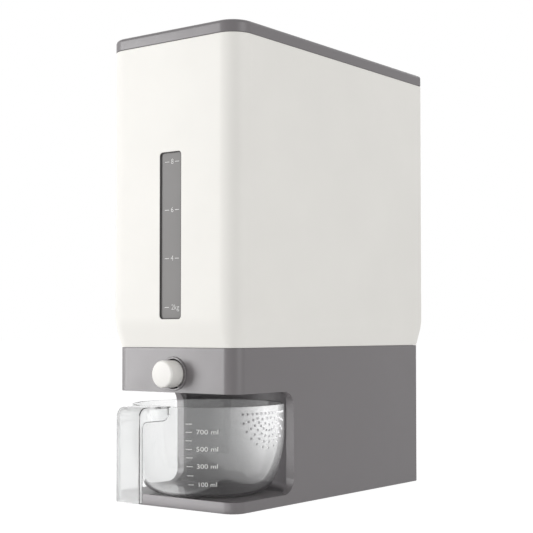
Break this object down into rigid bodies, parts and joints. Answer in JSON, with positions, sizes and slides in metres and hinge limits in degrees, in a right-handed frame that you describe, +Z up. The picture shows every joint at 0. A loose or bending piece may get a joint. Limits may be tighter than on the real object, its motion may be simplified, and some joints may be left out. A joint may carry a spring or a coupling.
{
  "type": "rice dispenser",
  "caption": "Tall countertop grain bin with a lift-off lid, a level window and a push button that opens a gate over a clear measuring cup in an open bay.",
  "frame": {"origin": "middle of the flat rim that the body rests on, at the level of the worktop", "axes": "+Z up, -Y to the front where the button and the cup are, +X to the right seen from the front"},
  "size_m": [0.1624, 0.3849, 0.45],
  "materials": {
    "bin_white": "satin moulded ABS, warm white",
    "base_grey": "fine satin moulded ABS, mid grey",
    "button_white": "smooth satin white ABS",
    "window_grey": "smoked translucent polystyrene",
    "cup_clear": "clear moulded SAN",
    "inner_white": "moulded polypropylene, natural white",
    "gate_white": "moulded POM, milky white",
    "silicone": "soft silicone",
    "foot_rubber": "matt black rubber",
    "spring_steel": "drawn wire",
    "screw_steel": "zinc plated"
  },
  "bodies": {
    "housing": {"bin_shell": "bin_white", "level_window": "window_grey", "hopper_floor": "inner_white", "gate_cover": "inner_white", "gate_housing": "inner_white", "gate_seal": "silicone", "return_spring_left": "spring_steel", "return_spring_right": "spring_steel", "base_shell": "base_grey", "bay_liner": "base_grey", "base_plate": "base_grey", "foot_front_left": "foot_rubber", "foot_front_right": "foot_rubber", "foot_rear_left": "foot_rubber", "foot_rear_right": "foot_rubber", "plate_screws": "screw_steel", "bin_screws": "screw_steel", "gate_screws": "screw_steel"},
    "gate": {"gate_slide": "gate_white", "button_cap": "button_white"},
    "lid": {"lid_cover": "base_grey", "lid_seal": "silicone"},
    "cup": {"measuring_cup": "cup_clear"}
  },
  "joints": [
    {"name": "button_press", "type": "slide", "parent": "housing", "child": "gate", "axis": [0, 1, 0], "range_m": [0, 0.0125], "stiffness_N_per_m": 300, "springref_m": -0.012, "deforming": ["return_spring_left", "return_spring_right"]},
    {"name": "lid_lift", "type": "slide", "parent": "housing", "child": "lid", "axis": [0, 0, 1], "range_m": [0, 0.06]},
    {"name": "cup_pull", "type": "slide", "parent": "housing", "child": "cup", "axis": [0, -1, 0], "range_m": [0, 0.225]}
  ]
}
